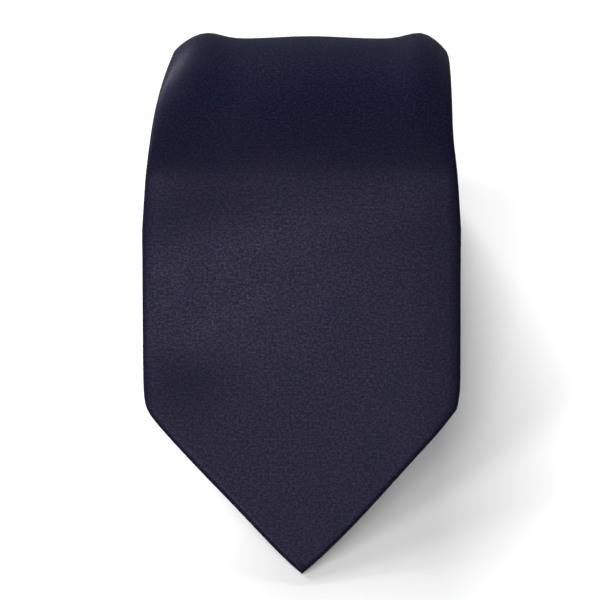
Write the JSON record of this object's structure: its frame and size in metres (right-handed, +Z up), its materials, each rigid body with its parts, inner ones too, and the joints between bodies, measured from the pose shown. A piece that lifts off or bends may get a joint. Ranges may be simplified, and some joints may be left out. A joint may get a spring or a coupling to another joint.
{
  "type": "necktie",
  "caption": "Wide satin necktie, rolled up from its narrow tail, with the pointed front blade falling from the roll to the surface it lies on.",
  "frame": {"origin": "on the surface that the tie rests on, at the middle of its bounding box", "axes": "+Z up, +X across the tie, and the point of the blade lies towards -Y"},
  "size_m": [0.085, 0.1438, 0.069],
  "materials": {
    "satin": "dark navy satin weave",
    "lining": "smooth navy lining cloth",
    "interlining": "undyed brushed wool blend",
    "thread": "navy sewing thread",
    "label": "plain woven label"
  },
  "bodies": {
    "roll": {"front_blade_wrap": "satin", "neck_piece": "satin", "tail_piece": "satin", "interlining_wound": "interlining", "tail_lining": "lining", "slip_stitches": "thread", "front_join_stitches": "thread", "tail_join_stitches": "thread", "front_bar_tack": "thread", "tail_bar_tack": "thread", "keeper_loop": "satin", "keeper_loop_tacks": "thread", "brand_label": "label", "care_label": "label", "label_stitches": "thread"},
    "blade": {"front_blade_fall": "satin", "interlining_fall": "interlining", "blade_lining_fall": "lining", "hem_stitches_fall": "thread"},
    "tip": {"front_blade_point": "satin", "interlining_point": "interlining", "blade_lining_point": "lining", "hem_stitches_point": "thread"}
  },
  "joints": [
    {"name": "blade_lift", "type": "hinge", "parent": "roll", "child": "blade", "pos_m": [0, 0.01456, 0.06145], "axis": [-1, 0, 0], "range_deg": [0, 75]},
    {"name": "tip_lift", "type": "hinge", "parent": "blade", "child": "tip", "pos_m": [0, -0.02989, 0.02896], "axis": [-1, 0, 0], "range_deg": [0, 75]}
  ]
}
